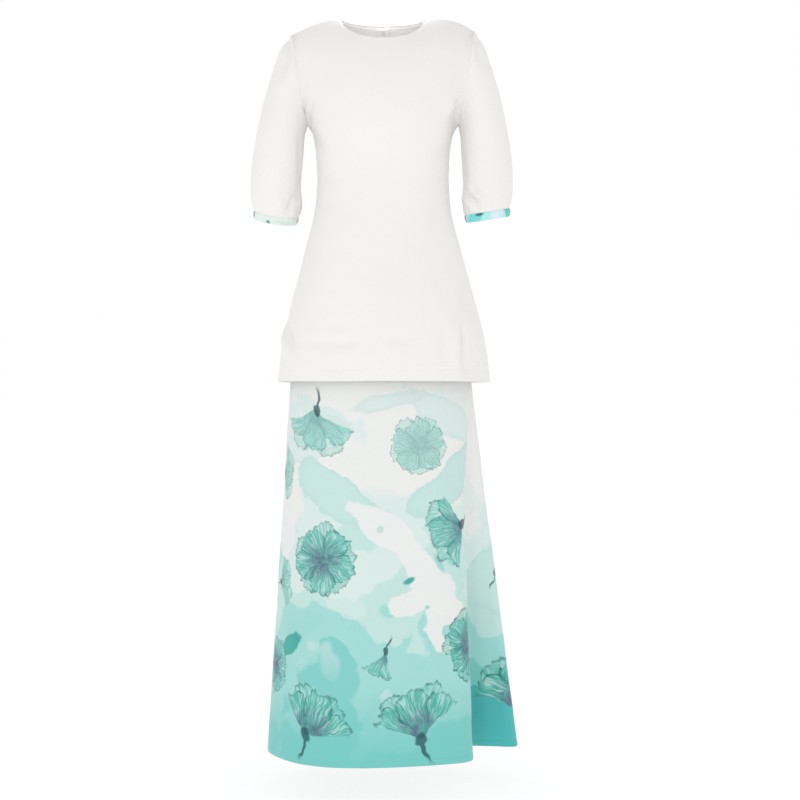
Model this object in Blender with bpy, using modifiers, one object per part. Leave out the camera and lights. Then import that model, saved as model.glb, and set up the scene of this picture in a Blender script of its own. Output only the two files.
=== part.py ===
"""Baju kurung: a half-sleeved white tunic over a long printed skirt, in the shape they have when worn.

Metres, +Z up. The front faces -Y, and the wearer's left is +X. The origin is midway between the two
shoulder seams, where the wearer's shoulders carry the tunic. Every piece of cloth is a thin closed
wall, cut from one surface of the whole garment, so pieces that are sewn together meet at the same
points and lie a seam's gap apart.
"""
import math
from collections import namedtuple

import bmesh
import bpy
from mathutils import Matrix, Vector

# Cloth
CLOTH = 0.0015  # thickness of tunic and skirt
WAISTBAND_CLOTH = 0.0024  # the band is doubled over its elastic
SEAM_GAP = 0.0003  # space between two pieces that are sewn or worn against each other
SHARPEST_MITRE = 1.5  # how much deeper than the cloth an inner corner may lie

# Neck and shoulders
NECK_HALF_WIDTH = 0.080
SHOULDER_Z = 0.0205  # the seam at the neck
SHOULDER_FALL = 0.0300  # from the neck to the shoulder's tip
FRONT_NECK_DEPTH, FRONT_NECK_DROP = 0.080, 0.0530
BACK_NECK_DEPTH, BACK_NECK_DROP = 0.045, 0.0035

# Body of the tunic, from the hem up; the last row only gives the direction above the chest line
Level = namedtuple("Level", "z half_width front back")
TUNIC_LEVELS = [
    Level(-0.6690, 0.1995, 0.150, 0.157),
    Level(-0.5980, 0.1905, 0.141, 0.150),
    Level(-0.5370, 0.1777, 0.132, 0.142),
    Level(-0.4760, 0.1620, 0.121, 0.131),
    Level(-0.4155, 0.1465, 0.110, 0.117),
    Level(-0.3770, 0.1360, 0.103, 0.105),
    Level(-0.3470, 0.1295, 0.098, 0.095),
    Level(-0.3165, 0.1262, 0.095, 0.088),
    Level(-0.2860, 0.1245, 0.093, 0.085),
    Level(-0.2555, 0.1252, 0.098, 0.087),
    Level(-0.2250, 0.1282, 0.109, 0.093),
    Level(-0.2000, 0.1335, 0.119, 0.099),
    Level(-0.1700, 0.1420, 0.126, 0.104),
]
TUNIC_SQUARENESS = 2.2  # 2 is an ellipse
CHEST_Z = -0.200
WAISTBAND_TOP, WAISTBAND_BOTTOM = -0.262, -0.292
TUNIC_ROWS = [-0.669, -0.612, -0.555, -0.500, -0.448, -0.398, -0.350, -0.318,
              WAISTBAND_BOTTOM, WAISTBAND_TOP, -0.231, CHEST_Z]
YOKE_ROWS = 7  # from the chest line to the neck, shoulder and armhole edges

# Shares of a quarter of the body's girth, from its centre line to the side
NECK_END, SHOULDER_END = 0.36, 0.62
NECK_COLUMNS, SHOULDER_COLUMNS, ARMHOLE_COLUMNS = 6, 4, 11

# Points over the chest and the shoulder blades that the cloth curves by, on its way to the top edge
YokePoint = namedtuple("YokePoint", "share x y z")
FRONT_YOKE = [
    YokePoint(0.00, 0.0000, -0.1085, -0.0820),
    YokePoint(0.18, 0.0400, -0.1020, -0.0490),
    YokePoint(NECK_END, 0.0850, -0.0850, -0.0120),
    YokePoint(SHOULDER_END, 0.1580, -0.0640, -0.0380),
    YokePoint(0.81, 0.1500, -0.0530, -0.1310),
    YokePoint(1.00, 0.1390, 0.0000, -0.1900),
]
BACK_YOKE = [
    YokePoint(0.00, 0.0000, 0.0980, -0.0330),
    YokePoint(0.18, 0.0420, 0.0920, -0.0190),
    YokePoint(NECK_END, 0.0880, 0.0780, -0.0080),
    YokePoint(SHOULDER_END, 0.1580, 0.0620, -0.0380),
    YokePoint(0.81, 0.1510, 0.0530, -0.1310),
    YokePoint(1.00, 0.1390, 0.0000, -0.1900),
]

# Sleeve: rings that fan round the underarm, from the armhole to the cuff's seam
SleeveRing = namedtuple("SleeveRing", "along outer_x outer_z inner_x inner_z half_depth")
SLEEVE_RINGS = [
    SleeveRing(0.00, 0.1730, -0.0095, 0.1430, -0.1850, 0.0550),
    SleeveRing(0.10, 0.1915, -0.0320, 0.1446, -0.1890, 0.0575),
    SleeveRing(0.22, 0.2050, -0.0668, 0.1462, -0.1945, 0.0600),
    SleeveRing(0.34, 0.2160, -0.1035, 0.1478, -0.2030, 0.0615),
    SleeveRing(0.46, 0.2275, -0.1440, 0.1492, -0.2180, 0.0620),
    SleeveRing(0.58, 0.2365, -0.1850, 0.1505, -0.2390, 0.0615),
    SleeveRing(0.70, 0.2432, -0.2250, 0.1520, -0.2650, 0.0605),
    SleeveRing(0.82, 0.2480, -0.2680, 0.1535, -0.2950, 0.0590),
    SleeveRing(0.92, 0.2485, -0.3090, 0.1538, -0.3240, 0.0545),
    SleeveRing(1.00, 0.2430, -0.3395, 0.1570, -0.3525, 0.0460),
]
SLEEVE_ROWS = [0.0, 0.07, 0.15, 0.25, 0.36, 0.48, 0.60, 0.71, 0.80, 0.87, 0.93, 0.97, 1.0]
GATHERS = 11  # round each cuff
GATHER_DEPTH = 0.0014
# Shares of the sleeve's length where they begin, are full and start to flatten
GATHER_START, GATHER_FULL, GATHER_FLATTEN = 0.78, 0.96, 0.97
CUFF_HEIGHT = 0.0145
CUFF_TAPER = 0.0025  # how much narrower its lower edge is, on each side

# The two arms hang a little unlike: how far the shoulder's tip stands higher, how late its seam falls
# (1 is a straight seam), and how far the cuff stands out, hangs down and nods forward
Arm = namedtuple("Arm", "name side lift seam_curve outward down nod_degrees")
ARMS = [Arm("left", 1, 0.006, 3.2, -0.0025, 0.000, 7), Arm("right", -1, 0, 1.55, 0.0025, 0.004, 14)]
LIFT_END = 0.20  # share of the sleeve's length where the lift has died out

# Skirt, from the waistband's lower edge down to where its fold opens
SKIRT_LEVELS = [
    Level(-0.6600, 0.1710, 0.1270, 0.1390),
    Level(-0.6100, 0.1675, 0.1225, 0.1360),
    Level(-0.5520, 0.1630, 0.1180, 0.1315),
    Level(-0.4940, 0.1560, 0.1130, 0.1260),
    Level(-0.4400, 0.1450, 0.1070, 0.1170),
    Level(-0.3900, 0.1325, 0.0995, 0.1025),
    Level(-0.3420, 0.1248, 0.0935, 0.0895),
    Level(-0.3150, 0.1232, 0.0915, 0.0850),
    Level(-0.2920, 0.1219, 0.0905, 0.0825),
]
SKIRT_SQUARENESS = 2.15
SKIRT_SHIFT = -0.004  # the hips hang a little to the wearer's right
SKIRT_HEM_Z = -1.360
FOLD_TOP = -0.660
FOLD_EASE = 1.02  # above 1, the fold opens slowly at first
SKIRT_ROWS = [-0.292, -0.315, -0.342, -0.390, -0.440, -0.494, -0.552, -0.610, -0.660,
              -0.760, -0.880, -1.000, -1.120, -1.240, SKIRT_HEM_Z]

# Where each line of cloth meets the hem; turn is in degrees round the hips, from the centre front
# to the wearer's left. The front laps over the side in one deep fold, with its edge at 55 degrees.
HemPoint = namedtuple("HemPoint", "turn x y")
HEM = [
    HemPoint(0, 0.000, -0.1950),
    HemPoint(18, 0.070, -0.1800),
    HemPoint(34, 0.122, -0.1630),
    HemPoint(46, 0.155, -0.1450),
    HemPoint(55, 0.1665, -0.1180),
    HemPoint(63, 0.160, -0.0840),
    HemPoint(70, 0.146, -0.0520),
    HemPoint(76, 0.141, -0.0240),
    HemPoint(81, 0.162, -0.0020),
    HemPoint(86, 0.205, -0.0060),
    HemPoint(91, 0.244, -0.0120),
    HemPoint(96, 0.256, 0.0030),
    HemPoint(104, 0.252, 0.0300),
    HemPoint(118, 0.232, 0.0760),
    HemPoint(134, 0.184, 0.1130),
    HemPoint(150, 0.128, 0.1560),
    HemPoint(166, 0.066, 0.1720),
    HemPoint(182, -0.004, 0.1660),
    HemPoint(198, -0.074, 0.1790),
    HemPoint(216, -0.138, 0.1500),
    HemPoint(234, -0.186, 0.1040),
    HemPoint(252, -0.211, 0.0500),
    HemPoint(268, -0.2180, -0.0050),
    HemPoint(282, -0.212, -0.0600),
    HemPoint(296, -0.192, -0.1060),
    HemPoint(312, -0.156, -0.1550),
    HemPoint(328, -0.104, -0.1880),
    HemPoint(344, -0.050, -0.1980),
]
LEFT_SEAM, RIGHT_SEAM = 76, 268  # side seams; the left one lies at the bottom of the fold
SKIRT_FRONT_COLUMNS, SKIRT_BACK_COLUMNS = 32, 34

SAME_POINT = 1e-6  # points closer than this are one point
SLOPE_STEP = 0.01  # share of the yoke's rise over which its slope is taken

# Concealed zip down the centre back: only its slider and tab show
ZIP_BELOW_NECK = 0.012
SLIDER_WIDTH, SLIDER_LENGTH, SLIDER_DEPTH = 0.0055, 0.0090, 0.0014
EDGE_ROUNDING = 0.0004
BRIDGE_WIRE = 0.0010  # the bridge that holds the tab's eye
BRIDGE_ROOM, BRIDGE_HEIGHT = 0.0024, 0.0022  # clear space under it, along and out
PIVOT_HEIGHT = 0.00105  # of the tab's eye bar over the slider's face
TAB_LENGTH, TAB_THICKNESS = 0.0190, 0.0011
TAB_TOP_WIDTH, TAB_END_WIDTH = 0.0046, 0.0062
EYE_BAR, EYE_WIDTH, EYE_LENGTH = 0.0011, 0.0024, 0.0030

# Colour, roughness and metallic value of each material
Finish = namedtuple("Finish", "colour roughness metallic")
FINISHES = {
    "white_cloth": Finish((0.90, 0.89, 0.88), 0.62, 0.0),
    "printed_cloth": Finish((0.52, 0.80, 0.77), 0.62, 0.0),
    "zip_metal": Finish((0.86, 0.86, 0.85), 0.35, 1.0),
}


def clear_scene():
    for item in list(bpy.data.objects):
        bpy.data.objects.remove(item)


def collection(name):
    group = bpy.data.collections.new(name)
    bpy.context.scene.collection.children.link(group)
    return group


def material(name):
    finish = FINISHES[name]
    made = bpy.data.materials.new(name)
    made.use_nodes = True
    shader = made.node_tree.nodes["Principled BSDF"]
    shader.inputs["Base Color"].default_value = (*finish.colour, 1)
    shader.inputs["Roughness"].default_value = finish.roughness
    shader.inputs["Metallic"].default_value = finish.metallic
    return made


# Curves through the tables

def slope(rows, index, column):
    before, after = rows[max(index - 1, 0)], rows[min(index + 1, len(rows) - 1)]
    return (after[column] - before[column]) / (after[0] - before[0])


def between(rows, at):
    """The row at one place along a table's first column, on a smooth curve through its rows."""
    at = min(max(at, rows[0][0]), rows[-1][0])
    index = next(k for k in range(len(rows) - 1) if at <= rows[k + 1][0])
    span = rows[index + 1][0] - rows[index][0]
    t = (at - rows[index][0]) / span
    values = [at]
    for column in range(1, len(rows[0])):
        start, end = rows[index][column], rows[index + 1][column]
        leave, arrive = slope(rows, index, column) * span, slope(rows, index + 1, column) * span
        values.append(start * (1 + 2 * t) * (1 - t) ** 2 + leave * t * (1 - t) ** 2
                      + end * t * t * (3 - 2 * t) - arrive * t * t * (1 - t))
    return type(rows[0])(*values)


def bezier(p0, p1, p2, p3, t):
    s = 1 - t
    return p0 * s ** 3 + p1 * 3 * s * s * t + p2 * 3 * s * t * t + p3 * t ** 3


def smooth_step(low, high, value):
    t = min(max((value - low) / (high - low), 0), 1)
    return t * t * (3 - 2 * t)


# Surface of the tunic's body; turn counts quarter turns from the centre front to the wearer's left

def oval(level, squareness, turn):
    """A point of a level's section, a rounded oval with its own depth in front and behind."""
    angle = turn * math.pi / 2
    across, ahead = math.sin(angle), math.cos(angle)
    depth = level.front if ahead > 0 else level.back
    x = math.copysign(abs(across) ** (2 / squareness), across) * level.half_width
    y = -math.copysign(abs(ahead) ** (2 / squareness), ahead) * depth
    return Vector((x, y, level.z))


def quarter(turn):
    """Side (+1 is the wearer's left), whether in front, and share of the way to the side seam."""
    turn %= 4
    side = 1 if turn <= 2 else -1
    front = turn <= 1 or turn > 3
    share = min(turn, 4 - turn) if front else abs(turn - 2)
    return side, front, share


def neck_point(share, front):
    angle = share / NECK_END * math.pi / 2
    depth, drop = (-FRONT_NECK_DEPTH, FRONT_NECK_DROP) if front else (BACK_NECK_DEPTH, BACK_NECK_DROP)
    return Vector((NECK_HALF_WIDTH * math.sin(angle), depth * math.cos(angle),
                   SHOULDER_Z - drop * math.cos(angle)))


def shoulder_point(arm, share):
    along = (share - NECK_END) / (SHOULDER_END - NECK_END)
    width = SLEEVE_RINGS[0].outer_x - NECK_HALF_WIDTH
    fall = (SHOULDER_FALL - arm.lift) * along ** arm.seam_curve
    return Vector((NECK_HALF_WIDTH + width * along, 0, SHOULDER_Z - fall))


def armhole_point(arm, share, front):
    around = (share - SHOULDER_END) / (1 - SHOULDER_END) * math.pi
    return sleeve_section(arm_ring(arm, 0), around if front else -around, 0)


def top_edge(turn):
    """The neck, shoulder or armhole edge above one line of the body."""
    side, front, share = quarter(turn)
    arm = next(arm for arm in ARMS if arm.side == side)
    if share <= NECK_END:
        point = neck_point(share, front)
    elif share <= SHOULDER_END:
        point = shoulder_point(arm, share)
    else:
        point = armhole_point(arm, share, front)
    return Vector((side * point.x, point.y, point.z))


def yoke_point(turn, rise):
    """The body above the chest line: rise runs from 0 there to 1 at the top edge."""
    side, front, share = quarter(turn)
    chest = oval(between(TUNIC_LEVELS, CHEST_Z), TUNIC_SQUARENESS, turn)
    ahead = oval(between(TUNIC_LEVELS, CHEST_Z + 0.01), TUNIC_SQUARENESS, turn)
    top = top_edge(turn)
    leave = (ahead - chest).normalized() * (top - chest).length / 3
    yoke = between(FRONT_YOKE if front else BACK_YOKE, share)
    return bezier(chest, chest + leave, Vector((side * yoke.x, yoke.y, yoke.z)), top, rise)


def body_point(turn, z):
    return oval(between(TUNIC_LEVELS, z), TUNIC_SQUARENESS, turn)


def quarter_shares():
    """Where the lines of a quarter of the body stand, from its centre to its side."""
    neck = [NECK_END * k / NECK_COLUMNS for k in range(NECK_COLUMNS)]
    shoulder = [NECK_END + (SHOULDER_END - NECK_END) * k / SHOULDER_COLUMNS for k in range(SHOULDER_COLUMNS)]
    armhole = [SHOULDER_END + (1 - SHOULDER_END) * k / ARMHOLE_COLUMNS for k in range(ARMHOLE_COLUMNS + 1)]
    return neck + shoulder + armhole


def body_rows(turns):
    rows = [[body_point(turn, z) for turn in turns] for z in TUNIC_ROWS]
    rows += [[yoke_point(turn, k / YOKE_ROWS) for turn in turns] for k in range(1, YOKE_ROWS + 1)]
    return rows


# Surface of a sleeve and its cuff; around runs from the outer line (0) over the front

def sleeve_section(ring, around, nod, ripple=0.0):
    """A point of a ring of the wearer's left sleeve."""
    outer, inner = Vector((ring.outer_x, 0, ring.outer_z)), Vector((ring.inner_x, 0, ring.inner_z))
    centre, reach = (outer + inner) / 2, (outer - inner) / 2
    forward = Vector((0, -math.cos(nod), -math.sin(nod))) * ring.half_depth
    swell = 1 + ripple / ring.half_depth
    return centre + (reach * math.cos(around) + forward * math.sin(around)) * swell


def gather(along, around):
    """Ripple of the cloth that is gathered into the cuff."""
    fade = smooth_step(GATHER_START, GATHER_FULL, along) * (1 - smooth_step(GATHER_FLATTEN, 1, along))
    return GATHER_DEPTH * fade * math.cos(GATHERS * around)


def arm_ring(arm, along):
    """The sleeve's ring at one place, hung as this arm hangs."""
    ring = between(SLEEVE_RINGS, along)
    out, down = arm.outward * along, arm.down * along
    lift = arm.lift * (1 - smooth_step(0, LIFT_END, along))
    return ring._replace(outer_x=ring.outer_x + out, inner_x=ring.inner_x + out,
                         outer_z=ring.outer_z - down + lift, inner_z=ring.inner_z - down)


def sleeve_point(arm, along, around):
    nod = math.radians(arm.nod_degrees) * along ** 2
    point = sleeve_section(arm_ring(arm, along), around, nod, gather(along, around))
    return Vector((arm.side * point.x, point.y, point.z))


def cuff_point(arm, down, around):
    """A point of the cuff: down runs from 0 at its seam to 1 at its lower edge."""
    seam = sleeve_point(arm, 1, around)
    centre = (sleeve_point(arm, 1, 0) + sleeve_point(arm, 1, math.pi)) / 2
    axis = (sleeve_point(arm, 1, 0) - centre).cross(sleeve_point(arm, 1, math.pi / 2) - centre)
    axis = axis.normalized() * (1 if axis.z < 0 else -1)
    return seam + axis * CUFF_HEIGHT * down + (centre - seam).normalized() * CUFF_TAPER * down


# Surface of the skirt; turn is in degrees round the hips

def hem_point(turn):
    around = [HEM[-1]._replace(turn=HEM[-1].turn - 360), *HEM]
    around += [point._replace(turn=point.turn + 360) for point in HEM[:2]]
    point = between(around, turn % 360)
    return Vector((point.x, point.y, SKIRT_HEM_Z))


def hip_point(turn, z):
    point = oval(between(SKIRT_LEVELS, z), SKIRT_SQUARENESS, turn / 90)
    point.x += SKIRT_SHIFT * smooth_step(SKIRT_LEVELS[-1].z, FOLD_TOP, z)
    return point


def skirt_point(turn, z):
    if z >= FOLD_TOP:
        return hip_point(turn, z)
    drop = (FOLD_TOP - z) / (FOLD_TOP - SKIRT_HEM_Z)
    point = hip_point(turn, FOLD_TOP).lerp(hem_point(turn), drop ** FOLD_EASE)
    point.z = z
    return point


def skirt_rows(first, last, columns):
    turns = [first + (last - first) * k / columns for k in range(columns + 1)]
    return [[skirt_point(turn, z) for turn in turns] for z in reversed(SKIRT_ROWS)]


# Pieces: one surface holds the whole garment, and each piece is a wall cut from it

class Surface:
    """A surface made of named pieces, which share the points along their seams."""

    def __init__(self):
        self.mesh = bmesh.new()
        self.tag = self.mesh.faces.layers.int.new("piece")
        self.points = {}
        self.pieces = []

    def point(self, place):
        key = tuple(round(value, 6) for value in place)
        if key not in self.points:
            self.points[key] = self.mesh.verts.new(place)
        return self.points[key]

    def add(self, name, rows, closed=False, flip=False):
        """Adds a loft through rows of points; its faces point out if the rows rise as they turn left."""
        self.pieces.append(name)
        grid = [[self.point(place) for place in row] for row in rows]
        columns = len(grid[0]) if closed else len(grid[0]) - 1
        for lower, upper in zip(grid, grid[1:]):
            for k in range(columns):
                n = (k + 1) % len(lower)
                corners = [lower[k], lower[n], upper[n], upper[k]]
                if (corners[0].co - corners[2].co).length <= (corners[1].co - corners[3].co).length:
                    triangles = [corners[:3], [corners[0], *corners[2:]]]
                else:
                    triangles = [[corners[0], corners[1], corners[3]], corners[1:]]
                for triangle in triangles:
                    face = self.mesh.faces.new(reversed(triangle) if flip else triangle)
                    face[self.tag] = len(self.pieces) - 1
        self.mesh.normal_update()
        return grid

    def faces_of(self, name):
        index = self.pieces.index(name)
        return [face for face in self.mesh.faces if face[self.tag] == index]


def inset(vert, faces):
    """How far a point moves into its piece so that its seams are half a gap away."""
    own = [face for face in vert.link_faces if face in faces]
    seam_ways, free_ways = [], []
    for edge in vert.link_edges:
        sides = [face for face in edge.link_faces if face in own]
        if len(sides) != 1:
            continue
        along = (edge.other_vert(vert).co - vert.co).normalized()
        inward = sides[0].calc_center_median() - vert.co
        inward = (inward - along * inward.dot(along)).normalized()
        if len(edge.link_faces) == 2:
            seam_ways.append(inward)
        else:
            free_ways.append(along)
    half = SEAM_GAP / 2
    if len(seam_ways) == 2:
        first, second = seam_ways
        return (first + second) * (half / (1 + first.dot(second)))
    if len(seam_ways) == 1:
        return free_ways[0] * (half / free_ways[0].dot(seam_ways[0]))
    return Vector()


def wall(name, surface, cloth, finish, group):
    """Makes a piece of the surface into a closed wall that grows inward, to its own half of each seam."""
    faces = surface.faces_of(name)
    own = set(faces)
    surface.mesh.verts.index_update()
    outer, inner = {}, {}
    made = bmesh.new()
    for vert in dict.fromkeys(vert for face in faces for vert in face.verts):
        place = vert.co + inset(vert, own)
        depth = cloth * min(vert.calc_shell_factor(), SHARPEST_MITRE)
        outer[vert] = made.verts.new(place)
        inner[vert] = made.verts.new(place - vert.normal * depth)
    for face in faces:
        made.faces.new([outer[vert] for vert in face.verts])
        made.faces.new([inner[vert] for vert in reversed(face.verts)])
        for loop in face.loops:
            if len([side for side in loop.edge.link_faces if side in own]) == 1:
                rim(made, outer, inner, loop.vert, loop.link_loop_next.vert)
    return place_mesh(name, made, finish, group)


def rim(made, outer, inner, start, end):
    """Closes the wall along one edge; pieces on both sides of a seam split it the same way."""
    if start.index < end.index:
        made.faces.new([outer[end], outer[start], inner[end]])
        made.faces.new([outer[start], inner[start], inner[end]])
    else:
        made.faces.new([outer[end], outer[start], inner[start]])
        made.faces.new([outer[end], inner[start], inner[end]])


def place_mesh(name, made, finish, group, at=None):
    data = bpy.data.meshes.new(name)
    made.to_mesh(data)
    made.free()
    data.materials.append(finish)
    item = bpy.data.objects.new(name, data)
    if at:
        item.matrix_world = at
    group.objects.link(item)
    return item


def tunic(group, white, printed):
    surface = Surface()
    shares = quarter_shares()
    left, right = shares, [-share for share in reversed(shares)][:-1]
    surface.add("tunic_front", body_rows(right + left))
    for name, turns in (("tunic_back_left", [2 - share for share in reversed(shares)]),
                        ("tunic_back_right", [2 + share for share in shares])):
        surface.add(name, body_rows(turns))
    around = [math.pi * k / ARMHOLE_COLUMNS for k in range(2 * ARMHOLE_COLUMNS)]
    for arm in ARMS:
        flip = arm.side < 0
        surface.add(f"sleeve_{arm.name}",
                    [[sleeve_point(arm, along, angle) for angle in around] for along in SLEEVE_ROWS],
                    closed=True, flip=flip)
        surface.add(f"cuff_{arm.name}",
                    [[cuff_point(arm, down, angle) for angle in around] for down in (0, 1)],
                    closed=True, flip=flip)
    for name in surface.pieces:
        wall(name, surface, CLOTH, printed if name.startswith("cuff") else white, group)
    return surface


def quarter_turns(index):
    """The turns of one quarter's lines, its last one left to the next quarter."""
    shares = quarter_shares()
    if index % 2:
        return [index + 1 - share for share in reversed(shares)][:-1]
    return [index + share for share in shares][:-1]


def waistband(group, tunic_surface, printed):
    """The skirt's elastic band, made from the tunic's points at the waist, moved in to lie against it."""
    turns = [turn for side in (0, 1, 2, 3) for turn in quarter_turns(side)]
    surface = Surface()
    rows = []
    for z in (WAISTBAND_BOTTOM, WAISTBAND_TOP):
        verts = [tunic_surface.point(body_point(turn, z)) for turn in turns]
        rows.append([vert.co - vert.normal * (CLOTH + SEAM_GAP) for vert in verts])
    surface.add("skirt_waistband", rows, closed=True)
    for vert in surface.mesh.verts:
        if vert.co.z < (WAISTBAND_TOP + WAISTBAND_BOTTOM) / 2:
            vert.co.z += SEAM_GAP
    wall("skirt_waistband", surface, WAISTBAND_CLOTH, printed, group)
    surface.mesh.free()


def skirt(group, printed):
    surface = Surface()
    surface.add("skirt_front", skirt_rows(RIGHT_SEAM - 360, LEFT_SEAM, SKIRT_FRONT_COLUMNS))
    surface.add("skirt_back", skirt_rows(LEFT_SEAM, RIGHT_SEAM, SKIRT_BACK_COLUMNS))
    for name in surface.pieces:
        wall(name, surface, CLOTH, printed, group)
    surface.mesh.free()


# Zip slider and tab

def zip_frame():
    """Where the slider lies: X across, Y out of the cloth, Z up along the centre back."""
    rise = 1 - ZIP_BELOW_NECK / ((yoke_point(2, 1) - yoke_point(2, 1 - SLOPE_STEP)).length / SLOPE_STEP)
    place = yoke_point(2, rise)
    up = (yoke_point(2, rise + SLOPE_STEP) - yoke_point(2, rise - SLOPE_STEP)).normalized()
    across = Vector((1, 0, 0))
    out = up.cross(across)
    turned = Matrix((across, out, up)).transposed().to_4x4()
    return Matrix.Translation(place + out * SEAM_GAP) @ turned


def bridge_wire(group):
    """A staple of wire, its feet inside the slider, as a closed mesh."""
    data = bpy.data.curves.new("zip_bridge", "CURVE")
    data.dimensions = "3D"
    data.bevel_depth = BRIDGE_WIRE / 2
    data.bevel_resolution = 2
    data.use_fill_caps = True
    reach = (BRIDGE_ROOM + BRIDGE_WIRE) / 2
    top = SLIDER_DEPTH + BRIDGE_HEIGHT + BRIDGE_WIRE / 2
    corner = BRIDGE_WIRE  # radius of each bend
    middle = corner * (1 - math.cos(math.pi / 4))
    side = [(SLIDER_DEPTH / 2, -reach), (top - corner, -reach), (top - middle, -reach + middle),
            (top, -reach + corner)]
    route = side + [(out, -up) for out, up in reversed(side)]
    spline = data.splines.new("POLY")
    spline.points.add(len(route) - 1)
    for point, (out, up) in zip(spline.points, route):
        point.co = (0, out, up, 1)
    curve = bpy.data.objects.new("zip_bridge_curve", data)
    group.objects.link(curve)
    bpy.context.view_layer.update()
    mesh = bpy.data.meshes.new_from_object(curve.evaluated_get(bpy.context.evaluated_depsgraph_get()))
    bpy.data.objects.remove(curve)
    made = bmesh.new()
    made.from_mesh(mesh)
    bmesh.ops.remove_doubles(made, verts=made.verts, dist=SAME_POINT)
    bmesh.ops.recalc_face_normals(made, faces=made.faces)
    return made


def zip_slider(group, cutters, metal):
    frame = zip_frame()
    made = bmesh.new()
    size = Matrix.Diagonal((SLIDER_WIDTH, SLIDER_DEPTH, SLIDER_LENGTH, 1))
    bmesh.ops.create_cube(made, size=1, matrix=Matrix.Translation((0, SLIDER_DEPTH / 2, 0)) @ size)
    slider = place_mesh("zip_slider", made, metal, group, frame)
    bridge = place_mesh("zip_bridge", bridge_wire(cutters), metal, cutters, frame)
    bridge.hide_render = True
    bridge.display_type = "WIRE"
    rounding = slider.modifiers.new("rounded edges", "BEVEL")
    rounding.width = EDGE_ROUNDING
    rounding.segments = 2
    joined = slider.modifiers.new("bridge", "BOOLEAN")
    joined.operation = "UNION"
    joined.object = bridge


def zip_pull(group, metal):
    """The tab, hanging from its eye bar, which lies under the bridge; its origin is on the bar's axis."""
    end_radius = TAB_END_WIDTH / 2
    end_centre = EYE_BAR / 2 - TAB_LENGTH + end_radius
    arc = [math.pi * (1 + k / 8) for k in range(9)]
    outline = [(end_radius * math.cos(angle), end_centre + end_radius * math.sin(angle)) for angle in arc]
    outline += [(TAB_TOP_WIDTH / 2, EYE_BAR / 2), (-TAB_TOP_WIDTH / 2, EYE_BAR / 2)]
    eye_top, eye_bottom = -EYE_BAR / 2, -EYE_BAR / 2 - EYE_LENGTH
    eye = [(-EYE_WIDTH / 2, eye_bottom), (EYE_WIDTH / 2, eye_bottom), (EYE_WIDTH / 2, eye_top),
           (-EYE_WIDTH / 2, eye_top)]
    data = bpy.data.curves.new("zip_pull", "CURVE")
    data.dimensions = "2D"
    data.fill_mode = "BOTH"
    data.extrude = TAB_THICKNESS / 2
    for edge in (outline, eye):
        spline = data.splines.new("POLY")
        spline.points.add(len(edge) - 1)
        for point, (x, y) in zip(spline.points, edge):
            point.co = (x, y, 0, 1)
        spline.use_cyclic_u = True
    data.materials.append(metal)
    tab = bpy.data.objects.new("zip_pull", data)
    pivot = Matrix.Translation((0, SLIDER_DEPTH + PIVOT_HEIGHT, 0))
    tab.matrix_world = zip_frame() @ pivot @ Matrix.Rotation(math.pi / 2, 4, "X")
    group.objects.link(tab)


def main():
    clear_scene()
    group, cutters = collection("baju_kurung"), collection("cutters")
    white, printed, metal = [material(name) for name in FINISHES]
    tunic_surface = tunic(group, white, printed)
    waistband(group, tunic_surface, printed)
    tunic_surface.mesh.free()
    skirt(group, printed)
    zip_slider(group, cutters, metal)
    zip_pull(group, metal)


if __name__ == "__main__":
    main()
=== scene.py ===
"""Looks of the baju kurung: its cloth, with creases, seams, gathers and print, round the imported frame.

Metres, +Z up. The front faces -Y, and the wearer's left is +X.
"""
import math
from collections import namedtuple
from functools import lru_cache

import bpy
import numpy as np
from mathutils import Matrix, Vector, noise


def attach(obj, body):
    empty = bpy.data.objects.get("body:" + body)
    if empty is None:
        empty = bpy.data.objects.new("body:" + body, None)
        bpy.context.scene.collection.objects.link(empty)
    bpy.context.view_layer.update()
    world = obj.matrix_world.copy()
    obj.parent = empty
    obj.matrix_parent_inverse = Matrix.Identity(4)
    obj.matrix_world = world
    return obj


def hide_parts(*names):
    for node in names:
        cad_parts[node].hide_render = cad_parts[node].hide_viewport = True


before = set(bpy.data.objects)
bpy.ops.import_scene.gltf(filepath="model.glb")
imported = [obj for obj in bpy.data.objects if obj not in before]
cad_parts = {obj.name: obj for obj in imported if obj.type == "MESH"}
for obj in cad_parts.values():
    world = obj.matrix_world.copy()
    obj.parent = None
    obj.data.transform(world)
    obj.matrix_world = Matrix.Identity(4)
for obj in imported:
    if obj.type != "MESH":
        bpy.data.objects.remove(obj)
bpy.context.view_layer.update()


def table(kind, rows):
    return tuple(kind(*row) for row in rows)


# Cloth
CLOTH = 0.0015
CUFF_CLOTH = 0.0018
WAISTBAND_CLOTH = 0.0016  # without its fine gathers
SEAM_GAP = 0.0003
TUNIC_HEM, SKIRT_HEM = 0.022, 0.012  # from the free edge to the stitches

# Space between the lines of a piece's grid; the yoke's and the sleeves' are shares of their lengths
STEP = 0.0032
YOKE_STEP = 1 / 62
TURN_STEP = 1 / 60
SKIRT_STEP = 0.0044
SKIRT_TURN_STEP = 1.16  # degrees
HIDDEN_STEP = 0.009  # on the skirt under the tunic
SLEEVE_STEP = 1 / 96
CUFF_STEP = 0.09
BAND_STEP = 0.0025
SLEEVE_COLUMNS, CUFF_COLUMNS, BAND_COLUMNS = 100, 180, 420

# Parts of the bake map, as left edge and width: a piece's two sides, and a strip for half of each rim
OUTER_BAKE, INNER_BAKE, RIM_BAKE = (0, 0.66), (0.68, 0.27), (0.96, 0.003)
NEXT_RIM, NEXT_HALF_RIM = 0.009, 0.004

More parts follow.
